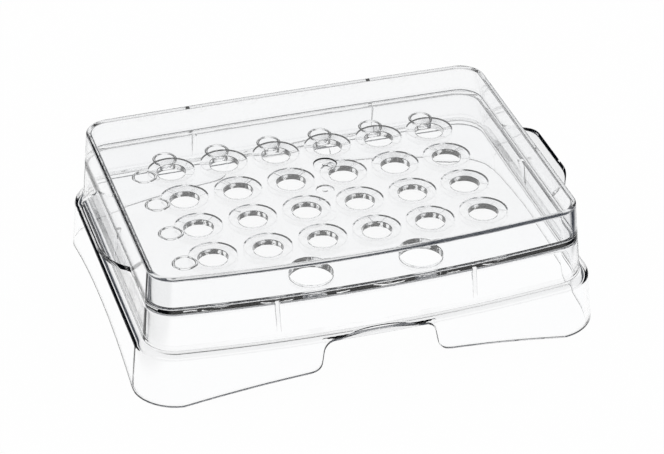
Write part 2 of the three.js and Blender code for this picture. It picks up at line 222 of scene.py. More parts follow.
def rounded(corners):
    """Points through (offset, z, radius) corners, with an arc of that radius at each corner."""
    points = [Vector(corners[0][:2])]
    for before, corner, after in zip(corners, corners[1:], corners[2:]):
        here = Vector(corner[:2])
        to_before = (Vector(before[:2]) - here).normalized()
        to_after = (Vector(after[:2]) - here).normalized()
        half = to_before.angle(to_after) / 2
        reach = corner[2] / math.tan(half)
        middle = here + (to_before + to_after).normalized() * corner[2] / math.sin(half)
        start = here + to_before * reach - middle
        turn = start.angle_signed(here + to_after * reach - middle)
        step = ARC_STEP if corner[2] > SMALL_ARC else 2 * ARC_STEP
        steps = max(2, round(abs(turn) / step))
        for i in range(steps + 1):
            points.append(middle + Matrix.Rotation(-turn * i / steps, 2) @ start)
    points.append(Vector(corners[-1][:2]))
    return points


sample = rounded([(0, 0), (10, 0, 2), (10, 10)])
print("a square corner of 2 mm radius becomes", len(sample) - 2, "points")


# %% Bodies drawn ring by ring
def deselect():
    """Leave edit mode and select nothing, so that an operator acts only on what comes next."""
    if bpy.context.mode != "OBJECT":
        bpy.ops.object.mode_set(mode="OBJECT")
    bpy.ops.object.select_all(action="DESELECT")


def drawn_body(name, rings):
    """A closed body through rings of matching points, extruded from one ring to the next."""
    deselect()
    bpy.ops.mesh.primitive_circle_add(vertices=len(rings[0]), radius=1, fill_type="NGON")
    body = bpy.context.object
    body.name = name
    bpy.ops.object.mode_set(mode="EDIT")
    mesh = bmesh.from_edit_mesh(body.data)
    places = {}
    for index, vertex in enumerate(mesh.verts):
        vertex.co = Vector(rings[0][index]) * MM
        places[tuple(vertex.co)] = index
    for ring in rings[1:]:
        bmesh.update_edit_mesh(body.data)
        bpy.ops.mesh.extrude_region_move()
        mesh = bmesh.from_edit_mesh(body.data)
        drawn = [vertex for vertex in mesh.verts if vertex.select]
        indices = [places[tuple(vertex.co)] for vertex in drawn]
        places = {}
        for vertex, index in zip(drawn, indices):
            vertex.co = Vector(ring[index]) * MM
            places[tuple(vertex.co)] = index
    bmesh.update_edit_mesh(body.data)
    bpy.ops.mesh.select_all(action="SELECT")
    bpy.ops.mesh.normals_make_consistent(inside=False)
    bpy.ops.object.mode_set(mode="OBJECT")
    return body


# %% Tools that work on whole bodies
def circle_rings(profile, x, y, segments):
    """Rings of a turned body, from a profile of (radius, z) points."""
    turns = [2 * math.pi * (i + 0.5) / segments for i in range(segments)]
    return [[(x + r * math.cos(t), y + r * math.sin(t), z) for t in turns] for r, z in profile]


def select_only(body):
    """Make this body the one that operators act on."""
    deselect()
    body.select_set(True)
    bpy.context.view_layer.objects.active = body


def combine(body, other, operation):
    """Join a second body into the first, or cut it away, as the Boolean modifier does."""
    select_only(body)
    bpy.ops.object.modifier_add(type="BOOLEAN")
    boolean = body.modifiers[-1]
    boolean.object = other
    boolean.operation = operation
    boolean.solver = "EXACT"
    bpy.ops.object.modifier_apply(modifier=boolean.name)
    bpy.data.objects.remove(other, do_unlink=True)


def bevel(body, width, least_angle):
    """Round a body's edges that turn by more than the least angle, in degrees."""
    select_only(body)
    bpy.ops.object.modifier_add(type="BEVEL")
    rounding = body.modifiers[-1]
    rounding.width = width * MM
    rounding.segments = 3
    rounding.angle_limit = math.radians(least_angle)
    bpy.ops.object.modifier_apply(modifier=rounding.name)


def joined(bodies):
    """Put several bodies in one object, so that one Boolean cuts with all of them."""
    deselect()
    for body in bodies:
        body.select_set(True)
    bpy.context.view_layer.objects.active = bodies[0]
    bpy.ops.object.join()
    return bpy.context.object


# %% [markdown]
# ## The rack's shell
#
# The rack is one wall all round with a deck on top. Its section runs from the deck's underside
# down the inside, round the foot, up the skirt, over the shoulder and up to the seat and the deck.
# The lower edge is arched between the feet. Cutting the arches would leave sharp edges, so the
# rings at the foot are lifted along the arches instead, and the rounded foot follows them. The
# shoulder's outer edge is round, and its inner corners are tight: in clear plastic a tight corner
# is a thin line, and a wide one is a broad grey band.

# %% Arched lower edge
FRONT_ARCH_RISE = 7.8
FRONT_FOOT_LENGTH = 15.0
END_ARCH_RISE = 5.3
END_FOOT_LENGTH = 13.0
FRONT_HALF_SPAN = HALF_LENGTH + FLOOR - FRONT_FOOT_LENGTH
END_MIDDLE_Y = (front["y"] + back["y"]) / 2
END_HALF_SPAN = (back["y"] - front["y"]) / 2 + SEAT_CORNER_RADIUS + FLOOR - END_FOOT_LENGTH


def arch_height(distance, half_span, rise):
    """Height of a shallow arc over a span, at a distance from its middle."""
    if abs(distance) >= half_span:
        return 0
    radius = (half_span**2 + rise**2) / (2 * rise)
    return math.sqrt(radius**2 - distance**2) - (radius - rise)


def lower_edge(x, y):
    """Height of the lower edge at a place on the foot's outline."""
    across = arch_height(x, FRONT_HALF_SPAN, FRONT_ARCH_RISE)
    along = arch_height(y - END_MIDDLE_Y, END_HALF_SPAN, END_ARCH_RISE)
    return max(across, along)


LIFTS = [lower_edge(x + nx * FLOOR, y + ny * FLOOR) for x, y, nx, ny in OUTLINE]
print("the lower edge rises up to", round(max(LIFTS), 2), "mm")

# %% Rings of the walls
FOOT_ZONE = 1.0


def wall_rings(profile):
    """Rings of the outline at (offset, z) points; those near the floor follow the arched edge."""
    rings = []
    for offset, z in profile:
        ring = []
        for (x, y, nx, ny), lift in zip(OUTLINE, LIFTS):
            rise = lift if z < FOOT_ZONE else 0
            reach = offset - rise * SLOPE
            ring.append((x + nx * reach, y + ny * reach, z + rise))
        rings.append(ring)
    return rings


print("the foot's outline is", round(2 * (HALF_LENGTH + FLOOR), 1), "mm long")

# %% Radii of the section
SEAT_WIDTH = 2.0
DECK_ROOT_RADIUS = 1.5
TIGHT_RADIUS = 0.15
SHOULDER_INNER_RADIUS = 1.2
SHOULDER_EDGE_RADIUS = 2.6
FOOT_RADIUS = 0.3
TIER_EDGE_RADIUS = 0.2
SEAT_RADIUS = 0.1
UNDER_INSET = 4
DECK_INSET = 1
deck_root = -WALL_ACROSS + (SEAT_Z - DECK_UNDER_Z) * SLOPE
shoulder_under = SHOULDER_Z - WALL
section = [
    (deck_root - UNDER_INSET, DECK_UNDER_Z),
    (deck_root, DECK_UNDER_Z, DECK_ROOT_RADIUS),
    (TIER_FOOT - WALL_ACROSS, shoulder_under, TIGHT_RADIUS),
    (SHOULDER - WALL_ACROSS, shoulder_under, SHOULDER_INNER_RADIUS),
    (FLOOR - WALL_ACROSS, 0, FOOT_RADIUS),
    (FLOOR, 0, FOOT_RADIUS),
    (SHOULDER, SHOULDER_Z, SHOULDER_EDGE_RADIUS),
    (TIER_FOOT, SHOULDER_Z, TIGHT_RADIUS),
    (0, SEAT_Z, TIER_EDGE_RADIUS),
    (-SEAT_WIDTH, SEAT_Z, SEAT_RADIUS),
    (-SEAT_WIDTH, DECK_Z, SEAT_RADIUS),
    (-SEAT_WIDTH - DECK_INSET, DECK_Z),
]
print("the section has", len(section), "corners and", len(rounded(section)), "points")

# %% Draw the shell
rack = drawn_body("tube_rack", wall_rings(rounded(section)))
print("shell:", len(rack.data.vertices), "points")

# %% [markdown]
# ## Finger tabs
#
# A tab is a thin tongue that leaves the end wall level with the seat and curls up a little, so
# that a finger catches under it. Solidify could thicken a curled sheet, but it would leave the wall
# at a slant. So the tab is a flat grid first, whose rows are set along the tab's plan and lifted
# along its curl. Extruding the grid upwards gives it its thickness, Bevel rounds its edge, and it
# is joined into the shell.

# %% Plan and curl of a tab
TAB_REACH = 8.9
TAB_RISE = 2.9
TAB_THICKNESS = 2.0
TAB_HALF_FLAT = 12.0
TAB_CORNER = 15.0
TAB_ROOT = 4.0
TAB_EDGE = 0.4
ROOT_STEPS = 8
CORNER_ARC_STEPS = 16
curl_radius = (TAB_REACH**2 + TAB_RISE**2) / (2 * TAB_RISE)
tip_centre = TAB_REACH - TAB_CORNER
tab_turn = math.acos((TAB_ROOT - tip_centre) / (TAB_CORNER + TAB_ROOT))
root_half = TAB_HALF_FLAT + (TAB_CORNER + TAB_ROOT) * math.sin(tab_turn)


def tab_plan():
    """(distance from the wall, half width) pairs from inside the wall out to the tip."""
    plan = [(-WALL / 2, root_half), (-WALL / 4, root_half)]
    for i in range(ROOT_STEPS + 1):
        angle = 2 * QUARTER - tab_turn * i / ROOT_STEPS
        plan.append((TAB_ROOT + TAB_ROOT * math.cos(angle), root_half - TAB_ROOT * math.sin(angle)))
    for i in range(1, CORNER_ARC_STEPS + 1):
        angle = tab_turn * (1 - i / CORNER_ARC_STEPS)
        half_width = TAB_HALF_FLAT + TAB_CORNER * math.sin(angle)
        plan.append((tip_centre + TAB_CORNER * math.cos(angle), half_width))
    return plan


print("a tab is", round(2 * root_half, 1), "mm wide at the wall and", TAB_REACH, "mm long")

# %% Make the two tabs
TAB_ROWS = 40


def lifted(reach, radius, start_z):
    """Height of a surface that curls up from start_z with the given radius."""
    return start_z + radius - math.sqrt(radius**2 - max(reach, 0) ** 2)


def finger_tab(side):
    """A tab on one end, side being -1 at the left and 1 at the right."""
    plan = tab_plan()
    deselect()
    bpy.ops.mesh.primitive_grid_add(x_subdivisions=len(plan) - 1, y_subdivisions=TAB_ROWS, size=2)
    tab = bpy.context.object
    tab.name = "tab"
    for vertex in tab.data.vertices:
        reach, half_width = plan[round((vertex.co.x + 1) / 2 * (len(plan) - 1))]
        z = lifted(reach, curl_radius + TAB_THICKNESS, SEAT_Z - TAB_THICKNESS)
        place = (side * (HALF_LENGTH + reach), END_MIDDLE_Y + side * vertex.co.y * half_width, z)
        vertex.co = Vector(place) * MM
    bpy.ops.object.mode_set(mode="EDIT")
    bpy.ops.mesh.select_all(action="SELECT")
    bpy.ops.mesh.extrude_region_move()
    upper = bmesh.from_edit_mesh(tab.data)
    for vertex in upper.verts:
        if vertex.select:
            reach = side * vertex.co.x / MM - HALF_LENGTH
            vertex.co.z = lifted(reach, curl_radius, SEAT_Z) * MM
    bmesh.update_edit_mesh(tab.data)
    bpy.ops.mesh.select_all(action="SELECT")
    bpy.ops.mesh.normals_make_consistent(inside=False)
    bpy.ops.object.mode_set(mode="OBJECT")
    bevel(tab, TAB_EDGE, least_angle=50)
    return tab


for side in (-1, 1):
    combine(rack, finger_tab(side), "UNION")
print("with tabs:", len(rack.data.vertices), "points")

# %% [markdown]
# ## Gussets under the deck
#
# Six small three-cornered ribs stiffen the corner between the deck and the walls: two along the
# front, two along the back and one at each end. Each is a flat face with its thickness extruded,
# sunk a little into the wall and the deck, and joined on. A slight bevel gives the ribs the
# double line that a rounded edge has in clear plastic.

# %% Gussets
GUSSET_THICKNESS = 1.5
GUSSET_HEIGHT = 12.0
GUSSET_DEPTH = 2.4
GUSSET_XS = (-35.0, 36.3)
GUSSET_EDGE = 0.15


def gusset(x, y, inwards):
    """A rib at the wall's inside at (x, y); inwards is the direction away from the wall."""
    bite = WALL / 2
    top = DECK_UNDER_Z + DECK_THICKNESS / 2
    bottom = DECK_UNDER_Z - GUSSET_HEIGHT
    corners = [
        (-bite, top),
        (-bite - GUSSET_HEIGHT * SLOPE, bottom),
        (-GUSSET_HEIGHT * SLOPE, bottom),
        (GUSSET_DEPTH, DECK_UNDER_Z),
        (GUSSET_DEPTH, top),
    ]
    rings = []
    for sideways in (-GUSSET_THICKNESS / 2, GUSSET_THICKNESS / 2):
        ring = []
        for reach, z in corners:
            place = Matrix.Rotation(inwards, 2) @ Vector((reach, sideways))
            ring.append((x + place.x, y + place.y, z))
        rings.append(ring)
    rib = drawn_body("gusset", rings)
    bevel(rib, GUSSET_EDGE, least_angle=30)
    return rib


def wall_inside_y(arc, side, x):
    """Where a bowed wall's inside meets the deck's underside."""
    return arc["bow_y"] + side * math.sqrt((arc["bow_radius"] + deck_root) ** 2 - x**2)


for x in GUSSET_XS:
    combine(rack, gusset(x, wall_inside_y(front, -1, x), QUARTER), "UNION")
    combine(rack, gusset(x, wall_inside_y(back, 1, x), -QUARTER), "UNION")
combine(rack, gusset(-HALF_LENGTH - deck_root, GRID_Y, 0), "UNION")
combine(rack, gusset(HALF_LENGTH + deck_root, GRID_Y, 2 * QUARTER), "UNION")
print("with gussets:", len(rack.data.vertices), "points")

# %% [markdown]
# ## Thumb notches
#
# The middle of the front and back skirt is cut away for a thumb, and the cut scoops a shallow arc
# out of the shoulder. The wall bows and leans, so a straight tool would leave edges of uneven
# width. The tool is drawn from rings that follow the wall from inside to outside instead. The rings
# widen at both faces, which rounds the edges of the opening as they are on the moulding.

# %% Lips of a cutting tool
FLARE = math.tan(math.radians(13))
LIP_REACH = 2.0
SKIN = 0.05


def first_lip(size, level, edge, reach=LIP_REACH):
    """A tool's profile where it enters at a low level, which rounds that edge of the opening."""
    return [(size + reach, level + SKIN - reach * FLARE), (size, level + SKIN, edge)]


def last_lip(size, level, edge, reach=LIP_REACH):
    """The same where the tool leaves at a high level."""
    return [(size, level - SKIN, edge), (size + reach, level - SKIN + reach * FLARE)]


print("a lip widens by", round(1 / FLARE, 1), "mm for each millimetre of depth")

# %% Outline of the notch
NOTCH_HALF = 21.6
NOTCH_LEAN = 0.17
NOTCH_CORNER = 3.9
NOTCH_TOP_Z = shoulder_under - TIGHT_RADIUS
OVERCUT = 2
ARCH_TOP_Z = arch_height(NOTCH_HALF + NOTCH_CORNER, FRONT_HALF_SPAN, FRONT_ARCH_RISE)


def curve(start, bend, end, steps=8):
    """Points along a quadratic curve from start to end that leaves towards bend."""
    start, bend, end = Vector(start), Vector(bend), Vector(end)
    points = []
    for i in range(1, steps + 1):
        t = i / steps
        points.append(tuple((1 - t) ** 2 * start + 2 * t * (1 - t) * bend + t**2 * end))
    return points


def notch_outline():
    """(x, z) points from the floor up one side, across the top and down the other side."""
    top_x = NOTCH_HALF - NOTCH_LEAN * (NOTCH_TOP_Z - ARCH_TOP_Z)
    low = (NOTCH_HALF - NOTCH_LEAN * NOTCH_CORNER, ARCH_TOP_Z + NOTCH_CORNER)
    high = (top_x + NOTCH_LEAN * NOTCH_CORNER, NOTCH_TOP_Z - NOTCH_CORNER)
    flare = (NOTCH_HALF + NOTCH_CORNER, ARCH_TOP_Z)
    flat = top_x - NOTCH_CORNER
    half = [(flare[0] * share, -OVERCUT) for share in (0.2, 0.4, 0.6, 0.8, 1)]
    half += [(flare[0], ARCH_TOP_Z - OVERCUT), flare]
    half += curve(flare, (NOTCH_HALF, ARCH_TOP_Z + 0.3), low)
    half += [high] + curve(high, (top_x, NOTCH_TOP_Z), (flat, NOTCH_TOP_Z))
    half += [(flat * share, NOTCH_TOP_Z) for share in (0.8, 0.6, 0.4, 0.2)]
    return half + [(-x, z) for x, z in reversed(half)]


print("the notch's outline has", len(notch_outline()), "points")

# %% Notch cutters
NOTCH_EDGE = 0.7
SCOOP_RADIUS = 52.0
SCOOP_EDGE = 0.5
SCOOP_LIP = 0.8
SCOOP_SEGMENTS = 480
NOTCH_LIP = 1.0


def notch_opening(side, arc):
    """Cuts the skirt: each ring is the notch's outline, widened, at one depth in the wall."""
    outline = notch_outline()
    around = [(Vector(after) - Vector(before)).normalized()
              for before, after in zip(outline[-1:] + outline, outline[1:] + outline[:1])]
    half_wall = WALL_ACROSS / 2
    profile = [(LIP_REACH, -half_wall - OVERCUT)]
    profile += rounded(first_lip(0, -half_wall, NOTCH_EDGE) + last_lip(0, half_wall, NOTCH_EDGE))
    profile += [(LIP_REACH, half_wall + OVERCUT)]
    rings = []
    for wider, depth in profile:
        ring = []
        for (x, z), along in zip(outline, around):
            x, z = x + wider * along.y, z - wider * along.x
            if depth < 0:
                z = min(z, NOTCH_TOP_Z)
            reach = arc["bow_radius"] + SHOULDER + (SHOULDER_Z - z) * SLOPE - half_wall
            ring.append((x, arc["bow_y"] + side * (math.sqrt(reach**2 - x**2) + depth), z))
        rings.append(ring)
    return drawn_body("notch", rings)


def notch_scoop(side, arc):
    """Cuts the shoulder: an upright cylinder in front of the wall, limited to the notch."""
    middle_y = arc["bow_y"] + side * (arc["bow_radius"] + TIER_FOOT + NOTCH_LIP + SCOOP_RADIUS)
    profile = first_lip(SCOOP_RADIUS, shoulder_under, SCOOP_EDGE, SCOOP_LIP)
    profile += last_lip(SCOOP_RADIUS, SHOULDER_Z, SCOOP_EDGE, SCOOP_LIP)
    return drawn_body("scoop", circle_rings(rounded(profile), 0, middle_y, SCOOP_SEGMENTS))


for side, arc in ((-1, front), (1, back)):
    combine(rack, notch_opening(side, arc), "DIFFERENCE")
    combine(rack, notch_scoop(side, arc), "DIFFERENCE")
print("with notches:", len(rack.data.vertices), "points")

# %% [markdown]
# ## Holes, dishes and index spots
#
# Every tube hole opens in a shallow dish that leads the tube in, and all its edges are softly
# rounded. The dish is very flat: a slope of more than about ten degrees in clear plastic throws the
# view back inside and looks black. Beside each row and behind each column is an index spot, here a
# fine ring groove in the deck's underside. All of these are turned shapes, so the tools that cut
# them are drawn as rings, and the tools of one kind cut the deck together. The deck's large faces
# are scored through the holes first, because a face with holes in it is divided badly.

# %% Cutting tools for the deck
HOLE_RADIUS = 5.33
HOLE_EDGE = 0.25
DISH_RADIUS = 8.8
DISH_DEPTH = 0.75
DISH_EDGE_DEPTH = 0.3
DISH_EDGE_WIDTH = 0.5
DISH_BEND = 0.4
DISH_RIM = 0.15
LARGE_HOLE_RADIUS = 7.65
SPOT_RADIUS = 4.0
SPOT_REACH = 10.2
GROOVE = 0.56
GROOVE_EDGE = 0.1
UNDER_EDGE = 0.2
tube_hole_profile = rounded(first_lip(HOLE_RADIUS, DECK_UNDER_Z, UNDER_EDGE) + [
    (HOLE_RADIUS, DECK_Z - DISH_DEPTH, HOLE_EDGE),
    (DISH_RADIUS - DISH_EDGE_WIDTH, DECK_Z - DISH_EDGE_DEPTH, DISH_BEND),
    (DISH_RADIUS, DECK_Z - SKIN / 2, DISH_RIM),
    (DISH_RADIUS + LIP_REACH, DECK_Z - SKIN / 2 + LIP_REACH * FLARE),
])
large_hole_profile = rounded(
    first_lip(LARGE_HOLE_RADIUS, DECK_UNDER_Z, UNDER_EDGE)
    + last_lip(LARGE_HOLE_RADIUS, DECK_Z, HOLE_EDGE))
spot_ring_profile = rounded([
    (SPOT_RADIUS + GROOVE, DECK_UNDER_Z - 2 * SKIN),
    (SPOT_RADIUS + GROOVE / 4, DECK_UNDER_Z + 2 * GROOVE, GROOVE_EDGE),
    (SPOT_RADIUS - GROOVE / 4, DECK_UNDER_Z + 2 * GROOVE, GROOVE_EDGE),
    (SPOT_RADIUS - GROOVE, DECK_UNDER_Z - SKIN),
])
for profile in (tube_hole_profile, large_hole_profile, spot_ring_profile):
    print("a cutting tool's profile has", len(profile), "points")


# %% Score the faces
def score(body, xs, ys):
    """Divide a body's faces along the middle lines of its holes, so that none has a hole in it."""
    select_only(body)
    bpy.ops.object.mode_set(mode="EDIT")
    lines = [((x * MM, 0, 0), (1, 0, 0)) for x in xs] + [((0, y * MM, 0), (0, 1, 0)) for y in ys]
    for place, across in lines:
        bpy.ops.mesh.select_all(action="SELECT")
        bpy.ops.mesh.bisect(plane_co=place, plane_no=across)
    bpy.ops.object.mode_set(mode="OBJECT")


spot_x = row_xs[0] - SPOT_REACH
spot_y = column_ys[-1] + SPOT_REACH
large_xs = [x for x, y in large_holes]
score(rack, row_xs + large_xs + [spot_x, 0], column_ys + [large_holes[0][1], spot_y, GRID_Y])
print("scored:", len(rack.data.polygons), "faces")

# %% Cut the deck
SPOT_SEGMENTS = 72
TUBE_HOLE_SEGMENTS = 96
LARGE_HOLE_SEGMENTS = 120


def cutters(name, profile, places, segments):
    """One cutting tool at each place, turned from the profile."""
    return [drawn_body(name, circle_rings(profile, x, y, segments)) for x, y in places]


spots = [(spot_x, y) for y in column_ys] + [(x, spot_y) for x in row_xs]
rings = cutters("spot", spot_ring_profile, spots, SPOT_SEGMENTS)
combine(rack, joined(rings), "DIFFERENCE")
tools = cutters("tube_hole", tube_hole_profile, tube_holes, TUBE_HOLE_SEGMENTS)
tools += cutters("large_hole", large_hole_profile, large_holes, LARGE_HOLE_SEGMENTS)
combine(rack, joined(tools), "DIFFERENCE")
print("with holes:", len(rack.data.vertices), "points")

# %% [markdown]
# ## Gate marks
#
# The plastic entered each mould in the middle of its top face, and left a shallow dimple there
# with the broken-off nub in it. Bump in the material could hint at them, but clear plastic shows
# every real edge. So the dimple is cut and the nub joined back in.

# %% Gate marks
GATE_DEPTH = 0.45
GATE_EDGE = 0.2
NUB_RADIUS = 1.0
NUB_EDGE = 0.1
NUB_BELOW = 0.12
DIMPLE_SEGMENTS = 72
NUB_SEGMENTS = 36
DECK_GATE_RADIUS = 3.3


def gate_mark(body, radius, z):
    """A dimple with a nub in it, in the middle of the face at height z."""
    dimple = rounded([
        (radius - 1.5, z - GATE_DEPTH),
        (radius, z - GATE_DEPTH, GATE_EDGE),
        (radius, z - SKIN, GATE_EDGE),
        (radius + LIP_REACH, z - SKIN + LIP_REACH * FLARE),
    ])
    rings = circle_rings(dimple, 0, GRID_Y, DIMPLE_SEGMENTS)
    combine(body, drawn_body("dimple", rings), "DIFFERENCE")
    nub = rounded([
        (NUB_RADIUS, z - GATE_DEPTH - 0.3),
        (NUB_RADIUS, z - NUB_BELOW, NUB_EDGE),
        (NUB_RADIUS / 2, z - NUB_BELOW),
    ])
    rings = circle_rings(nub, 0, GRID_Y, NUB_SEGMENTS)
    combine(body, drawn_body("nub", rings), "UNION")


gate_mark(rack, DECK_GATE_RADIUS, DECK_Z)
print("with its gate mark:", len(rack.data.vertices), "points")

# %% [markdown]
# ## The lid
#
# The lid is a shallow tray turned upside down, with walls that lean inwards. It is drawn in one
# chain of rings as the shell is: from its underside down the inside, round the rim that rests on
# the seat, and up the outside over a rounded edge to the top. A hair's gap is left between the rim
# and the seat, because two clear faces in one place can't be told apart by a renderer.

# %% Draw the lid
LID_WALL = 1.7
LID_GAP = 0.04
LID_INNER_RADIUS = 0.6
LID_RIM_RADIUS = 0.25
LID_EDGE_RADIUS = 1.0
LID_INSET = 3
LID_GATE_RADIUS = 4.2
lid_across = LID_WALL * LEVEL_REACH
lid_under = LID_Z - LID_WALL
rim_z = SEAT_Z + LID_GAP
inside_top = -lid_across - (lid_under - SEAT_Z) * SLOPE
outside_top = -(LID_Z - SEAT_Z) * SLOPE
lid = drawn_body("clear_lid", wall_rings(rounded([
    (inside_top - LID_INSET, lid_under),
    (inside_top, lid_under, LID_INNER_RADIUS),
    (-lid_across, rim_z, LID_RIM_RADIUS),
    (0, rim_z, LID_RIM_RADIUS),
    (outside_top, LID_Z, LID_EDGE_RADIUS),
    (outside_top - LID_INSET, LID_Z),
])))
score(lid, [0], [GRID_Y])
gate_mark(lid, LID_GATE_RADIUS, LID_Z)
print("lid:", len(lid.data.vertices), "points")

# %% [markdown]
# ## Shading
#
# Facets would show at once in clear plastic. The faces are shaded smooth where they meet at a low
# angle, and Weighted Normal keeps the large flat faces truly flat beside the rounded edges.

# %% Smooth faces and flat decks
SMOOTH_ANGLE = math.radians(32)


def finish_surface(body):
    """Smooth shading up to the angle, with the large faces kept flat."""
    select_only(body)
    bpy.ops.object.shade_smooth_by_angle(angle=SMOOTH_ANGLE)
    bpy.ops.object.modifier_add(type="WEIGHTED_NORMAL")
    body.modifiers[-1].keep_sharp = True
    bpy.ops.object.modifier_apply(modifier=body.modifiers[-1].name)


for body in (rack, lid):
    finish_surface(body)
    body.data.calc_loop_triangles()
    print(body.name, len(body.data.loop_triangles), "triangles")

# %% [markdown]
# ## Places in the frame
#
# The imported model has two nodes on one body. Each finished mesh replaces its node and rides on
# the same body, so that the two models stay one thing.

# %% Put the pieces in the frame
for body, node in ((rack, "rack"), (lid, "lid")):
    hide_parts(node)
    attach(body, "root")
    print(body.name, "replaces", node)

# %% [markdown]
# ## Finishes
#
# All of it is clear polycarbonate: smooth, faintly cool, and bending light strongly. What tells
# real plastic from perfect glass is small. The faces are a little wavy from the mould, and handling
# leaves fine scratches and films. The walls of the holes and the lid's rim come from an eroded tool
# and are finely pitted. These effects are node groups, built once and used in every material with
# its own values. They give only heights, roughness and tint, and the clear shader stays in the
# material. Small helpers come first, so that each group reads as a few lines.

# %% Helpers for shader nodes
def add_node(tree, kind, **settings):
    """A shader node of this kind, with its settings."""
    node = tree.nodes.new("ShaderNode" + kind)
    for name, value in settings.items():
        setattr(node, name, value)
    return node


def math_node(tree, operation, first, second=0.0):
    """A Math node whose inputs are links or plain numbers; gives its output."""
    node = add_node(tree, "Math", operation=operation, use_clamp=True)
    for socket, value in zip(node.inputs, (first, second)):
        if isinstance(value, bpy.types.NodeSocket):
            tree.links.new(value, socket)
        else:
            socket.default_value = value
    return node.outputs[0]


def between(tree, value, low, high):
    """Rises smoothly from 0 to 1 as the value goes from low to high."""
    node = add_node(tree, "MapRange", interpolation_type="SMOOTHSTEP")
    tree.links.new(value, node.inputs["Value"])
    node.inputs["From Min"].default_value = low
    node.inputs["From Max"].default_value = high
    return node.outputs["Result"]


def mixed(tree, factor, first, second):
    """A Mix Shader that goes from the first node's shader to the second's."""
    node = add_node(tree, "MixShader")
    tree.links.new(factor, node.inputs[0])
    tree.links.new(first.outputs[0], node.inputs[1])
    tree.links.new(second.outputs[0], node.inputs[2])
    return node


# %% A node group from named sockets
def node_group(name, inputs, outputs):
    """A shader group with float inputs, given as name: value, and outputs as name: kind."""
    group = bpy.data.node_groups.new(name, "ShaderNodeTree")
    for socket_name, value in inputs.items():
        socket = group.interface.new_socket(
            name=socket_name, in_out="INPUT", socket_type="NodeSocketFloat")
        socket.default_value = value
    for socket_name, kind in outputs.items():
        group.interface.new_socket(
            name=socket_name, in_out="OUTPUT", socket_type="NodeSocket" + kind)
    return group, group.nodes.new("NodeGroupInput"), group.nodes.new("NodeGroupOutput")


# %% Noise on a piece
SCRATCH_TURN = (0.2, 0.1, 0.6)


def noise(tree, scale, detail=2.0, stretch=None):
    """Noise on object coordinates, in waves per metre; a stretch gives them for each axis."""
    node = add_node(tree, "TexNoise")
    node.inputs["Detail"].default_value = detail
    coordinates = add_node(tree, "TexCoord").outputs["Object"]
    if stretch:
        mapping = add_node(tree, "Mapping")
        mapping.inputs["Scale"].default_value = stretch
        mapping.inputs["Rotation"].default_value = SCRATCH_TURN
        tree.links.new(coordinates, mapping.inputs["Vector"])
        coordinates = mapping.outputs["Vector"]
    tree.links.new(coordinates, node.inputs["Vector"])
    if isinstance(scale, bpy.types.NodeSocket):
        tree.links.new(scale, node.inputs["Scale"])
    else:
        node.inputs["Scale"].default_value = scale
    return node.outputs["Fac"]


# %% Group: relief of the mould
relief, entry, result = node_group(
    "mould_relief", {"Wave Scale": 60, "Pit Scale": 2500, "Pit Share": 0.02}, {"Height": "Float"})
waves = noise(relief, entry.outputs["Wave Scale"], 1.0)
pits = noise(relief, entry.outputs["Pit Scale"], 2.0)
pit_height = math_node(relief, "MULTIPLY", pits, entry.outputs["Pit Share"])
wave_share = math_node(relief, "SUBTRACT", 1.0, entry.outputs["Pit Share"])
height = math_node(relief, "ADD", math_node(relief, "MULTIPLY", waves, wave_share), pit_height)
relief.links.new(height, result.inputs["Height"])
print("group", relief.name, "with", len(relief.nodes), "nodes")

# %% Group: wear from handling
wear, entry, result = node_group(
    "handling_wear", {"Clean": 0.0, "Scratched": 0.12, "Smudged": 0.02}, {"Roughness": "Float"})
scratches = between(wear, noise(wear, 1.0, 1.0, (60, 2600, 60)), 0.70, 0.76)
crossing = between(wear, noise(wear, 1.0, 1.0, (1900, 45, 1900)), 0.71, 0.77)
smudges = between(wear, noise(wear, 45, 3.0), 0.52, 0.75)
marks = math_node(wear, "MAXIMUM", scratches, crossing)
lines = math_node(wear, "MULTIPLY", marks, entry.outputs["Scratched"])
films = math_node(wear, "MULTIPLY", smudges, entry.outputs["Smudged"])
worn = math_node(wear, "ADD", math_node(wear, "MAXIMUM", lines, films), entry.outputs["Clean"])
wear.links.new(worn, result.inputs["Roughness"])
print("group", wear.name, "with", len(wear.nodes), "nodes")

# %% Group: tint of the resin
tint, entry, result = node_group("resin_tint", {"Depth": 0.02}, {"Color": "Color"})
cloud = math_node(tint, "MULTIPLY", noise(tint, 25, 2.0), entry.outputs["Depth"])
shades = add_node(tint, "CombineColor")
for channel, share in (("Red", 1.0), ("Green", 0.6), ("Blue", 0.1)):
    lost = math_node(tint, "MULTIPLY", math_node(tint, "ADD", cloud, entry.outputs["Depth"]), share)
    tint.links.new(math_node(tint, "SUBTRACT", 1.0, lost), shades.inputs[channel])
tint.links.new(shades.outputs["Color"], result.inputs["Color"])
print("group", tint.name, "with", len(tint.nodes), "nodes")

# %% [markdown]
# ## The clear material
#
# A Principled shader with full transmission bends light as the solid plastic does. But Cycles
# gives a clear body a dark shadow, unless it traces light through all the bends, which is slow and
# noisy. So rays that only ask for shadow meet a Transparent shader, which lets most light by. The
# rack and the lid have waves of their own, and the third finish is the pitted one.

# %% The clear material
IOR = 1.585
TINT_DEPTH = 0.005
SHADOW_COLOUR = (0.93, 0.94, 0.95, 1)


def place_group(tree, group, values):
    """The group as a node in a material, with that material's values."""
    node = add_node(tree, "Group", node_tree=group)
    for name, value in values.items():
        node.inputs[name].default_value = value
    return node


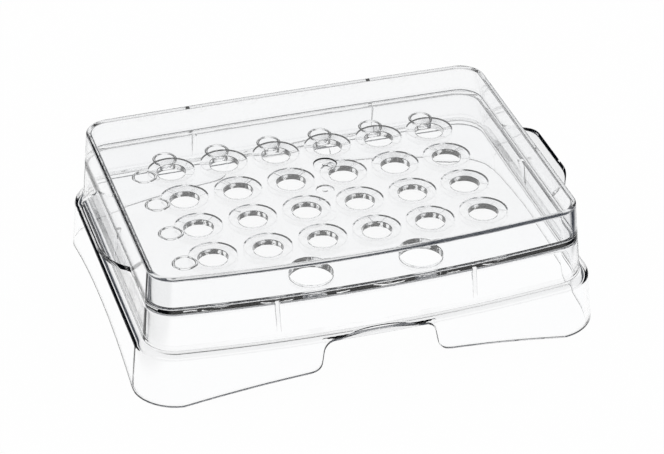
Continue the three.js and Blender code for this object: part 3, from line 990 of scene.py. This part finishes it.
def clear_polycarbonate(name, relief_depth, relief_values, wear_values):
    """Clear plastic; the relief's depth is in millimetres."""
    material = bpy.data.materials.new(name)
    material.use_nodes = True
    tree = material.node_tree
    shader = tree.nodes["Principled BSDF"]
    shader.inputs["IOR"].default_value = IOR
    shader.inputs["Transmission Weight"].default_value = 1
    colour = place_group(tree, tint, {"Depth": TINT_DEPTH})
    tree.links.new(colour.outputs["Color"], shader.inputs["Base Color"])
    roughness = place_group(tree, wear, wear_values)
    tree.links.new(roughness.outputs["Roughness"], shader.inputs["Roughness"])
    bump = add_node(tree, "Bump")
    bump.inputs["Distance"].default_value = relief_depth * MM
    surface = place_group(tree, relief, relief_values)
    tree.links.new(surface.outputs["Height"], bump.inputs["Height"])
    tree.links.new(bump.outputs["Normal"], shader.inputs["Normal"])
    lets_through = add_node(tree, "BsdfTransparent")
    lets_through.inputs["Color"].default_value = SHADOW_COLOUR
    in_shadow = add_node(tree, "LightPath").outputs["Is Shadow Ray"]
    surface_shader = mixed(tree, in_shadow, shader, lets_through)
    output = tree.nodes["Material Output"]
    tree.links.new(surface_shader.outputs[0], output.inputs["Surface"])
    return material


# %% Finishes of the rack and the lid
SMOOTH_RELIEF = 0.03
PITTED_RELIEF = 0.12
smooth_wear = {"Clean": 0.0, "Scratched": 0.10, "Smudged": 0.015}
pitted_wear = {"Clean": 0.0, "Scratched": 0.05, "Smudged": 0.01}
rack_finish = clear_polycarbonate(
    "rack_polycarbonate", SMOOTH_RELIEF, {"Wave Scale": 60, "Pit Share": 0.004}, smooth_wear)
lid_finish = clear_polycarbonate(
    "lid_polycarbonate", SMOOTH_RELIEF, {"Wave Scale": 45, "Pit Share": 0.004}, smooth_wear)
pitted_finish = clear_polycarbonate(
    "pitted_polycarbonate", PITTED_RELIEF,
    {"Wave Scale": 900, "Pit Scale": 2600, "Pit Share": 0.1}, pitted_wear)

for body, finish in ((rack, rack_finish), (lid, lid_finish)):
    body.data.materials.clear()
    body.data.materials.append(finish)
    body.data.materials.append(pitted_finish)
    print(body.name, "has", [slot.name for slot in body.data.materials])

# %% [markdown]
# ## Where the pitted finish lies
#
# Only the upright walls of the holes and the underside of the lid's rim are pitted. They could be
# painted by hand, but their place and direction tell them from all other faces, so each such face
# is given the second material.

# %% Faces with the pitted finish
UPRIGHT = 0.3
DOWNWARDS = -0.7
RIM_HEIGHT = 0.5
all_holes = [(x, y, HOLE_RADIUS) for x, y in tube_holes]
all_holes += [(x, y, LARGE_HOLE_RADIUS) for x, y in large_holes]


def in_hole_wall(centre):
    """Whether a face's centre lies on or inside the wall of a hole."""
    return any(math.hypot(centre.x - x, centre.y - y) < radius + 0.1 for x, y, radius in all_holes)


for face in rack.data.polygons:
    centre = face.center / MM
    in_deck = DECK_UNDER_Z < centre.z < DECK_Z
    if abs(face.normal.z) < UPRIGHT and in_deck and in_hole_wall(centre):
        face.material_index = 1
for face in lid.data.polygons:
    if face.normal.z < DOWNWARDS and face.center.z / MM < SEAT_Z + RIM_HEIGHT:
        face.material_index = 1
for body in (rack, lid):
    pitted = sum(face.material_index == 1 for face in body.data.polygons)
    print(body.name, pitted, "pitted faces of", len(body.data.polygons))

# %% [markdown]
# ## Camera
#
# The rack is seen as a catalogue shows it: from the front left and a little over thirty degrees
# up, with a long lens from almost a metre away, so that its edges stay nearly parallel. Pointing
# the camera at the rack's middle would be simpler. The view is given by two directions instead, the
# one to the camera's right and the one it looks in, because those also fix its slight roll.

# %% Camera
RIGHTWARDS = Vector((0.95604, -0.29321, -0.00364))
FORWARDS = Vector((0.24528, 0.80644, -0.53805))
CAMERA_PLACE = Vector((-227.01, -754.68 + GRID_Y, 524.42))
camera = bpy.data.objects.new("camera", bpy.data.cameras.new("camera"))
bpy.context.scene.collection.objects.link(camera)
stand = Matrix((RIGHTWARDS, RIGHTWARDS.cross(FORWARDS), -FORWARDS)).transposed().to_4x4()
stand.translation = CAMERA_PLACE * MM
camera.matrix_world = stand
camera.data.sensor_width = 36
camera.data.lens = 138.53
camera.data.clip_start = 0.05
camera.data.clip_end = 10
bpy.context.scene.camera = camera
print("camera", round(CAMERA_PLACE.length), "mm away, lens", round(camera.data.lens, 1), "mm")

# %% [markdown]
# ## Surroundings
#
# Clear plastic has hardly any colour of its own: it is seen by what it bends and mirrors. In an
# all-white room it vanishes, and before a dark one it looks like dark glass. The usual answer is
# bright field lighting, with a white sheet of limited size in a darker room. Faces that look at the
# sheet stay white, and edges draw themselves as dark lines, because an edge bends the view off it.
# So for bent and mirrored rays the world is pale in a low band behind and in front of the rack,
# and dark grey overhead, to the sides and at the horizon. For all other rays it is pale all round,
# which lights the floor softly from every side.

# %% World
BAND_WHITE = (0.8, 0.8, 0.8, 1)
ROOM_GREY = (0.030, 0.036, 0.050, 1)
SHEET_LOW = 0.20
LOW_FADE = 0.1
SHEET_HIGH = 0.58
HIGH_FADE = 0.07
SHEET_LEFT = -0.2
LEFT_FADE = 0.18
SHEET_RIGHT = 0.75
RIGHT_FADE = 0.2
DEPTH_START = 0.25
DEPTH_FULL = 0.45


def coloured(tree, kind, colour):
    """A shader node of this kind in one colour."""
    node = add_node(tree, kind)
    node.inputs["Color"].default_value = colour
    return node


def bent_or_mirrored(tree):
    """1 for a ray that plastic has let through or mirrored, else 0."""
    ray = add_node(tree, "LightPath").outputs
    return math_node(tree, "MAXIMUM", ray["Is Glossy Ray"], ray["Is Transmission Ray"])


world = bpy.data.worlds.new("studio")
bpy.context.scene.world = world
world.use_nodes = True
tree = world.node_tree
tree.nodes.clear()
direction = add_node(tree, "SeparateXYZ")
tree.links.new(add_node(tree, "TexCoord").outputs["Generated"], direction.inputs[0])
towards_front = math_node(tree, "MULTIPLY", direction.outputs["Y"], -1.0)
in_front = between(tree, towards_front, DEPTH_START, DEPTH_FULL)
behind = between(tree, direction.outputs["Y"], DEPTH_START, DEPTH_FULL)
risen = between(tree, direction.outputs["Z"], SHEET_LOW, SHEET_LOW + LOW_FADE)
overhead = between(tree, direction.outputs["Z"], SHEET_HIGH, SHEET_HIGH + HIGH_FADE)
past_left = between(tree, direction.outputs["X"], SHEET_LEFT, SHEET_LEFT + LEFT_FADE)
past_right = between(tree, direction.outputs["X"], SHEET_RIGHT, SHEET_RIGHT + RIGHT_FADE)
in_height = math_node(tree, "SUBTRACT", risen, overhead)
in_width = math_node(tree, "SUBTRACT", past_left, past_right)
in_depth = math_node(tree, "MAXIMUM", in_front, math_node(tree, "MULTIPLY", behind, in_width))
off_band = math_node(tree, "SUBTRACT", 1.0, math_node(tree, "MULTIPLY", in_depth, in_height))
dark_share = math_node(tree, "MULTIPLY", bent_or_mirrored(tree), off_band)
surroundings = mixed(
    tree, dark_share,
    coloured(tree, "Background", BAND_WHITE), coloured(tree, "Background", ROOM_GREY))
tree.links.new(surroundings.outputs[0], add_node(tree, "OutputWorld").inputs[0])
print("the world has", len(tree.nodes), "nodes")

# %% [markdown]
# ## Floor
#
# The rack stands on a pale sheet, which takes its soft shadow. A diffuse floor alone would come out
# light grey, and its edge in the plastic couldn't be set. So the floor is mostly glow for rays from
# the camera and from the plastic, white near the rack and dark grey past the sheet's margins, with
# a small diffuse share that holds the shadow. Light that falls on it otherwise meets plain paper.

# %% Floor
LEFT_MARGIN = 0.01
RIGHT_MARGIN = 0.03
FRONT_MARGIN = 0.12
BACK_MARGIN = 0.25
SHEET_FADE = 0.03
GLOW_SHARE = 0.98
SHEET_WHITE = (1, 1, 1, 1)
PAPER_COLOUR = (0.95, 0.95, 0.95, 1)
FLOOR_SIZE = 6
FLOOR_DROP = 0.0003
bpy.ops.mesh.primitive_plane_add(size=FLOOR_SIZE, location=(0, 0, -FLOOR_DROP))
floor = bpy.context.object
floor.name = "floor"
paper = bpy.data.materials.new("floor")
paper.use_nodes = True
tree = paper.node_tree
tree.nodes.clear()
floor_place = add_node(tree, "SeparateXYZ")
tree.links.new(add_node(tree, "TexCoord").outputs["Object"], floor_place.inputs[0])
margins = [
    (math_node(tree, "SUBTRACT", cad_low[0], floor_place.outputs["X"]), LEFT_MARGIN),
    (math_node(tree, "SUBTRACT", floor_place.outputs["X"], cad_high[0]), RIGHT_MARGIN),
    (math_node(tree, "SUBTRACT", cad_low[1], floor_place.outputs["Y"]), FRONT_MARGIN),
    (math_node(tree, "SUBTRACT", floor_place.outputs["Y"], cad_high[1]), BACK_MARGIN),
]
off_edge = 0.0
for distance, margin in margins:
    past_margin = between(tree, distance, margin, margin + SHEET_FADE)
    off_edge = math_node(tree, "MAXIMUM", past_margin, off_edge)
bent = bent_or_mirrored(tree)
seen = math_node(tree, "MAXIMUM", bent, add_node(tree, "LightPath").outputs["Is Camera Ray"])
off_sheet = math_node(tree, "MULTIPLY", bent, off_edge)
glow = mixed(
    tree, off_sheet,
    coloured(tree, "Emission", SHEET_WHITE), coloured(tree, "Emission", ROOM_GREY))
glow_share = math_node(tree, "MULTIPLY", seen, GLOW_SHARE)
surface = mixed(tree, glow_share, coloured(tree, "BsdfDiffuse", PAPER_COLOUR), glow)
tree.links.new(surface.outputs[0], add_node(tree, "OutputMaterial").inputs[0])
floor.data.materials.append(paper)
bpy.context.scene.view_settings.view_transform = "Standard"
print("the white sheet reaches", [margin for distance, margin in margins], "m past the rack")
